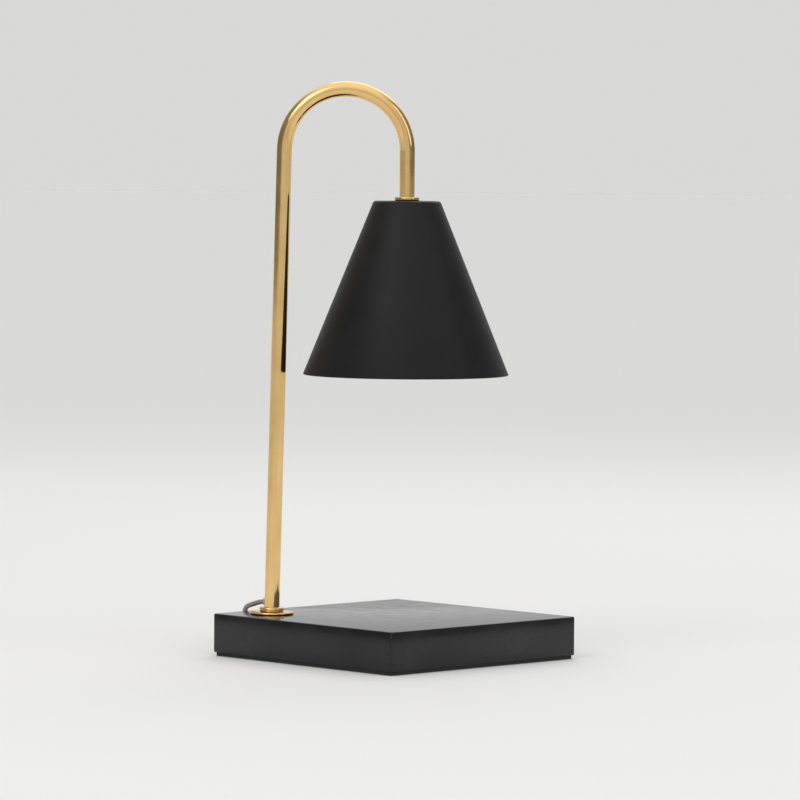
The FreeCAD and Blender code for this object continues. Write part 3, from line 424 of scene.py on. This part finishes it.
def glassMaterial():
    material, tree, shader = newMaterial("clearGlass")
    shader.inputs["Transmission Weight"].default_value = 1.0
    shader.inputs["IOR"].default_value = 1.48
    shader.inputs["Base Color"].default_value = (0.95, 0.97, 0.96, 1)
    smear = objectNoise(tree, 120, 4)
    tree.links.new(spread(tree, smear.outputs[0], 0.02, 0.09), shader.inputs["Roughness"])
    return material


def boardMaterial():  # copper tracks under green lacquer
    material, tree, shader = newMaterial("circuitBoard")
    where = tree.nodes.new("ShaderNodeTexCoord")
    cells = tree.nodes.new("ShaderNodeTexVoronoi")
    cells.distance = "MANHATTAN"
    cells.inputs["Scale"].default_value = 240
    tree.links.new(where.outputs["Object"], cells.inputs["Vector"])
    tracks = ramp(tree, cells.outputs["Distance"], [
        (0.2, (0.5, 0.42, 0.2)), (0.28, (0.015, 0.12, 0.045))])
    tree.links.new(tracks, shader.inputs["Base Color"])
    shader.inputs["Roughness"].default_value = 0.35
    return material


gold = metal("polishedGold", (0.85, 0.58, 0.25), (0.76, 0.49, 0.19), 0.06, 700, (1, 1, 0.15))
zinc = metal("zincPlate", (0.68, 0.69, 0.7), (0.5, 0.51, 0.52), 0.28, 500, bumpBy=0.06, wear=0.12)
contactBrass = metal(
    "contactBrass", (0.84, 0.72, 0.46), (0.74, 0.6, 0.34), 0.16, 600, (1, 0.2, 1), wear=0.1)
mirrored = metal("mirroredGlass", (0.86, 0.87, 0.9), (0.76, 0.77, 0.82), 0.08, 260, bumpBy=0.15)
powderBlack = plastic(
    "powderBlack", (0.006, 0.006, 0.0063), (0.009, 0.009, 0.0094), 0.5, 2600, 0.3, shine=0.24)
blackPlastic = plastic("blackPlastic", (0.014, 0.014, 0.015), (0.02, 0.02, 0.021), 0.45, 1800, 0.3)
blackRubber = plastic("blackRubber", (0.017, 0.017, 0.017), (0.024, 0.024, 0.024), 0.62, 900, 0.2)
foam = plastic("foamPad", (0.02, 0.02, 0.021), (0.032, 0.032, 0.033), 0.85, 2200, 0.8, 0.12)
clearRubber = plastic("clearRubber", (0.42, 0.37, 0.3), (0.5, 0.45, 0.38), 0.3, 600, 0.1, 0.02)
porcelain = plastic(
    "porcelain", (0.72, 0.7, 0.66), (0.8, 0.785, 0.75), 0.42, 1200, 0.12, 0.02, coat=0.15)
sleeve = plastic("leadSleeve", (0.66, 0.64, 0.58), (0.78, 0.76, 0.7), 0.75, 3000, 0.6, 0.05)
stone = stoneMaterial()
clearFlex = flexMaterial()
clearGlass = glassMaterial()
board = boardMaterial()

slotMaterials = {
    "stone": stone, "foam": foam, "gold": gold, "zinc": zinc, "clear_rubber": clearRubber,
    "clear_flex": clearFlex, "shade_black": powderBlack, "porcelain": porcelain,
    "contact_brass": contactBrass, "lead_sleeve": sleeve, "reflector_glass": mirrored,
    "clear_glass": clearGlass, "black_rubber": blackRubber, "black_plastic": blackPlastic,
    "board": board,
}
for entry in frame["record"]["subparts"]:
    node = nodes[entry["node"]]
    node.data.materials.clear()
    node.data.materials.append(slotMaterials[entry["material_slot"]])
for piece in (leadFlex, tailFlex):
    piece.data.materials.append(clearFlex)
print("materials on", len(nodes), "nodes")


# the slab, with eased edges
slab = {
    "side": 135.0, "low": 1.7, "high": 22.2, "corner": 1.5, "cornerSteps": 6, "edge": 0.8,
    "edgeSteps": 4, "wellR": 13.0, "wellDepth": 10.0, "wellSides": 64,
}


def makeSlab(spec):
    deselectAll()
    tall = spec["high"] - spec["low"]
    bpy.ops.mesh.primitive_plane_add(
        size=spec["side"] * mm, location=(0, 0, spec["low"] * mm), rotation=(0, 0, math.radians(45)))
    piece = bpy.context.active_object
    bpy.ops.object.transform_apply(location=True, rotation=True, scale=True)
    bpy.ops.object.mode_set(mode="EDIT")
    bpy.ops.mesh.select_all(action="SELECT")
    bpy.ops.mesh.bevel(
        offset=spec["corner"] * mm, segments=spec["cornerSteps"], affect="VERTICES")
    bpy.ops.mesh.select_all(action="SELECT")
    bpy.ops.mesh.extrude_region_move(TRANSFORM_OT_translate={"value": (0, 0, tall * mm)})
    bpy.ops.mesh.select_all(action="SELECT")
    bpy.ops.mesh.normals_make_consistent(inside=False)
    bpy.ops.object.mode_set(mode="OBJECT")
    bevelEdges(piece, spec["edge"], spec["edgeSteps"], 50)
    bpy.ops.mesh.primitive_cylinder_add(
        vertices=spec["wellSides"], radius=spec["wellR"] * mm, depth=2 * spec["wellDepth"] * mm,
        location=(lamp["footX"] * mm, 0, spec["low"] * mm))
    cutAway(piece, bpy.context.active_object)
    finishPiece("stone_slab", "lamp", ["base_stone"], stone)


makeSlab(slab)


# the bent tube: a ring drawn up the lean, round the arch and down the neck, with the flex's side hole
tubeSpec = {"ringSides": 64, "archSteps": 72, "holeR": 2.0, "holeSides": 40, "holeReach": 12.0}


def makeTube(spec):
    deselectAll()
    start = poleFoot - poleWay * lamp["footEnd"]
    bpy.ops.mesh.primitive_circle_add(
        vertices=spec["ringSides"], radius=lamp["tubeR"] * mm, fill_type="NOTHING",
        location=tuple(start * mm), rotation=(0, lamp["lean"], 0))
    piece = bpy.context.active_object
    bpy.ops.object.transform_apply(location=True, rotation=True, scale=True)
    bpy.ops.object.mode_set(mode="EDIT")
    bpy.ops.mesh.select_all(action="SELECT")
    top = archMid + Vector((-leanZ, 0, leanX)) * lamp["archR"]
    halfRise = (top - start) * mm / 2
    for half in range(2):
        bpy.ops.mesh.extrude_edges_move(TRANSFORM_OT_translate={"value": tuple(halfRise)})
    bpy.ops.mesh.spin(
        steps=spec["archSteps"], angle=math.pi - lamp["lean"],
        center=tuple(archMid * mm), axis=(0, -1, 0))
    drop = (lamp["archZ"] - lamp["neckEnd"]) * mm
    bpy.ops.mesh.extrude_edges_move(TRANSFORM_OT_translate={"value": (0, 0, -drop)})
    bpy.ops.mesh.select_all(action="SELECT")
    bpy.ops.mesh.normals_make_consistent(inside=False)
    bpy.ops.object.mode_set(mode="OBJECT")
    giveWall(piece, lamp["tubeWall"])
    holeMid = exitMid + exitWay * spec["holeReach"] / 2
    bpy.ops.mesh.primitive_cylinder_add(
        vertices=spec["holeSides"], radius=spec["holeR"] * mm, depth=spec["holeReach"] * mm,
        location=tuple(holeMid * mm), rotation=(math.pi / 2, 0, math.pi / 4))
    cutAway(piece, bpy.context.active_object)
    finishPiece("bent_tube", "lamp", ["pole"], gold)


makeTube(tubeSpec)


# turned trim: a cylinder whose two ends are inset, bridged into a bore and bevelled
trimSides, trimSteps = 96, 3
trim = [
    {"name": "foot_flange", "of": "pole_flange", "x": lamp["footX"], "z": lamp["stoneTop"] + 0.025,
     "radius": 11.6, "height": 1.3, "edge": 0.5, "bore": 4.1},
    {"name": "foot_hub", "of": "pole_hub", "x": lamp["footX"], "z": lamp["stoneTop"] + 1.35,
     "radius": 6.5, "height": 2.3, "edge": 0.7, "bore": 4.1},
    {"name": "neck_collar", "of": "shade_collar", "x": lamp["neckX"], "z": lamp["shadeTop"] + 0.05,
     "radius": 6.5, "height": 2.0, "edge": 0.5, "bore": 4.05},
]


def makeTrim(spec):
    deselectAll()
    bpy.ops.mesh.primitive_cylinder_add(
        vertices=trimSides, radius=spec["radius"] * mm, depth=spec["height"] * mm,
        location=(spec["x"] * mm, 0, (spec["z"] + spec["height"] / 2) * mm))
    piece = bpy.context.active_object
    bpy.ops.object.transform_apply(location=True, rotation=True, scale=True)
    bpy.ops.object.mode_set(mode="EDIT")
    facesWhere(piece, lambda normal: abs(normal.z) > 0.9)
    bpy.ops.mesh.inset(thickness=(spec["radius"] - spec["bore"]) * mm, depth=0)
    bpy.ops.mesh.bridge_edge_loops()
    bpy.ops.object.mode_set(mode="OBJECT")
    bevelEdges(piece, spec["edge"], trimSteps, 50)
    finishPiece(spec["name"], "lamp", [spec["of"]], gold)


for turnedPart in trim:
    makeTrim(turnedPart)


# the spun shade
shadeSpec = {
    "topR": 17.5, "rimR": 54.0, "height": 91.0, "wall": 0.9, "bore": 4.1,
    "edge": 1.2, "edgeSteps": 4, "rimEdge": 0.25, "rimSteps": 2, "sides": 160,
}


def makeShade(spec):
    deselectAll()
    foot = lamp["shadeTop"] - spec["height"]
    bpy.ops.mesh.primitive_cone_add(
        vertices=spec["sides"], radius1=spec["rimR"] * mm, radius2=spec["topR"] * mm,
        depth=spec["height"] * mm, end_fill_type="NGON",
        location=(lamp["neckX"] * mm, 0, (foot + spec["height"] / 2) * mm))
    piece = bpy.context.active_object
    bpy.ops.object.transform_apply(location=True, rotation=True, scale=True)
    bpy.ops.object.mode_set(mode="EDIT")
    facesWhere(piece, lambda normal: normal.z < -0.9)
    bpy.ops.mesh.delete(type="ONLY_FACE")
    facesWhere(piece, lambda normal: normal.z > 0.9)
    bpy.ops.mesh.inset(thickness=(spec["topR"] - spec["bore"]) * mm, depth=0)
    bpy.ops.mesh.delete(type="ONLY_FACE")
    bpy.ops.object.mode_set(mode="OBJECT")
    bevelEdges(piece, spec["edge"], spec["edgeSteps"], 40)
    giveWall(piece, spec["wall"])
    bevelEdges(piece, spec["rimEdge"], spec["rimSteps"], 50)
    finishPiece("cone_shade", "lamp", ["shade"], powderBlack)


makeShade(shadeSpec)


# the bulb's bowl, a round cup that opens downwards, and the burner in it
bowlSpec = {
    "top": 192.6, "foot": 158.65, "neckR": 11.0, "rimR": 25.0, "lip": 3.0, "wall": 1.2,
    "bend": 0.6, "steps": 14, "sides": 96,
}
burnerSpec = {
    "top": 191.35, "foot": 172.6, "radius": 4.5, "round": 3.4, "roundSteps": 8, "sides": 48,
}


def makeBowl(spec):
    deselectAll()
    bpy.ops.mesh.primitive_circle_add(
        vertices=spec["sides"], radius=spec["neckR"] * mm, fill_type="NGON",
        location=(lamp["neckX"] * mm, 0, spec["top"] * mm))
    piece = bpy.context.active_object
    bpy.ops.object.transform_apply(location=True, rotation=True, scale=True)
    bpy.ops.object.mode_set(mode="EDIT")
    bpy.ops.mesh.select_all(action="SELECT")
    down = (spec["top"] - spec["foot"] - spec["lip"]) / spec["steps"] * mm
    radius = spec["neckR"]
    for k in range(1, spec["steps"] + 1):
        share = k / spec["steps"]
        after = spec["neckR"] + (spec["rimR"] - spec["neckR"]) * share ** spec["bend"]
        bpy.ops.mesh.extrude_edges_move(TRANSFORM_OT_translate={"value": (0, 0, -down)})
        bpy.ops.transform.resize(value=(after / radius, after / radius, 1))
        radius = after
    bpy.ops.mesh.extrude_edges_move(TRANSFORM_OT_translate={"value": (0, 0, -spec["lip"] * mm)})
    bpy.ops.mesh.select_all(action="SELECT")
    bpy.ops.mesh.normals_make_consistent(inside=False)
    bpy.ops.object.mode_set(mode="OBJECT")
    giveWall(piece, spec["wall"], even=False)
    finishPiece("bulb_bowl", "bulb", ["bulb_reflector"], mirrored, 50)


def makeBurner(spec):
    deselectAll()
    tall = spec["top"] - spec["foot"]
    bpy.ops.mesh.primitive_cylinder_add(
        vertices=spec["sides"], radius=spec["radius"] * mm, depth=tall * mm,
        location=(lamp["neckX"] * mm, 0, (spec["foot"] + tall / 2) * mm))
    piece = bpy.context.active_object
    bpy.ops.object.transform_apply(location=True, rotation=True, scale=True)
    bpy.ops.object.mode_set(mode="EDIT")
    facesWhere(piece, lambda normal: normal.z < -0.9)
    bpy.ops.mesh.bevel(offset=spec["round"] * mm, segments=spec["roundSteps"], affect="EDGES")
    bpy.ops.object.mode_set(mode="OBJECT")
    finishPiece("bulb_capsule", "bulb", ["bulb_burner"], clearGlass, 50)


makeBowl(bowlSpec)
makeBurner(burnerSpec)
print("shaped pieces made")


# floor, backdrop and light
def stageMaterial(name, colour):
    material, tree, shader = newMaterial(name)
    shader.inputs["Base Color"].default_value = (*colour, 1)
    shader.inputs["Roughness"].default_value = 0.9
    return material


studio = {
    "floorSize": 60.0, "floorDrop": 0.0002, "floor": (0.84, 0.835, 0.83),
    "zenith": 1.42, "horizon": 0.83, "sides": 0.3, "shown": (0.694, 0.69, 0.686),
}


def makeStage(spec):
    deselectAll()
    bpy.ops.mesh.primitive_plane_add(size=spec["floorSize"], location=(0, 0, -spec["floorDrop"]))
    floor = bpy.context.active_object
    floor.name = "floor"
    floor.data.materials.append(stageMaterial("paleFloor", spec["floor"]))
    world = bpy.data.worlds.new("studio")
    scene.world = world
    world.use_nodes = True
    tree = world.node_tree
    tree.nodes.clear()
    out = tree.nodes.new("ShaderNodeOutputWorld")
    light = tree.nodes.new("ShaderNodeBackground")
    where = tree.nodes.new("ShaderNodeTexCoord")
    split = tree.nodes.new("ShaderNodeSeparateXYZ")
    tree.links.new(where.outputs["Generated"], split.inputs[0])
    rise = spread(tree, split.outputs[2], spec["horizon"], spec["zenith"], 0, 0.8)
    across = tree.nodes.new("ShaderNodeMath")
    across.operation = "ABSOLUTE"
    tree.links.new(split.outputs[0], across.inputs[0])
    sides = tree.nodes.new("ShaderNodeMath")  # dimmer walls left and right give the gold its shape
    sides.operation = "MULTIPLY"
    tree.links.new(rise, sides.inputs[0])
    tree.links.new(spread(tree, across.outputs[0], 1.0, spec["sides"], 0.4, 0.75), sides.inputs[1])
    tree.links.new(sides.outputs[0], light.inputs[1])
    shown = tree.nodes.new("ShaderNodeBackground")
    shown.inputs[0].default_value = (*spec["shown"], 1)
    shown.inputs[1].default_value = 1.0
    mix = tree.nodes.new("ShaderNodeMixShader")
    ray = tree.nodes.new("ShaderNodeLightPath")
    tree.links.new(ray.outputs["Is Camera Ray"], mix.inputs[0])
    tree.links.new(light.outputs[0], mix.inputs[1])
    tree.links.new(shown.outputs[0], mix.inputs[2])
    tree.links.new(mix.outputs[0], out.inputs[0])


lightTarget = Vector((0, 0, 0.14))
softboxes = [
    {"name": "keyBox", "at": (-0.9, -1.1, 1.3), "size": (0.9, 0.9), "watts": 5.0},
    {"name": "fillBox", "at": (1.3, -0.7, 0.9), "size": (0.7, 1.1), "watts": 2.5},
    {"name": "rimBox", "at": (0.3, 1.3, 1.2), "size": (1.2, 0.5), "watts": 3.0},
]


def makeLights(boxes):
    for box in boxes:
        data = bpy.data.lights.new(box["name"], "AREA")
        data.shape = "RECTANGLE"
        data.size, data.size_y = box["size"]
        data.energy = box["watts"]
        light = bpy.data.objects.new(box["name"], data)
        light.location = box["at"]
        facing = lightTarget - light.location
        light.rotation_euler = facing.to_track_quat("-Z", "Y").to_euler()
        scene.collection.objects.link(light)


makeStage(studio)
makeLights(softboxes)
print("stage and lights set")
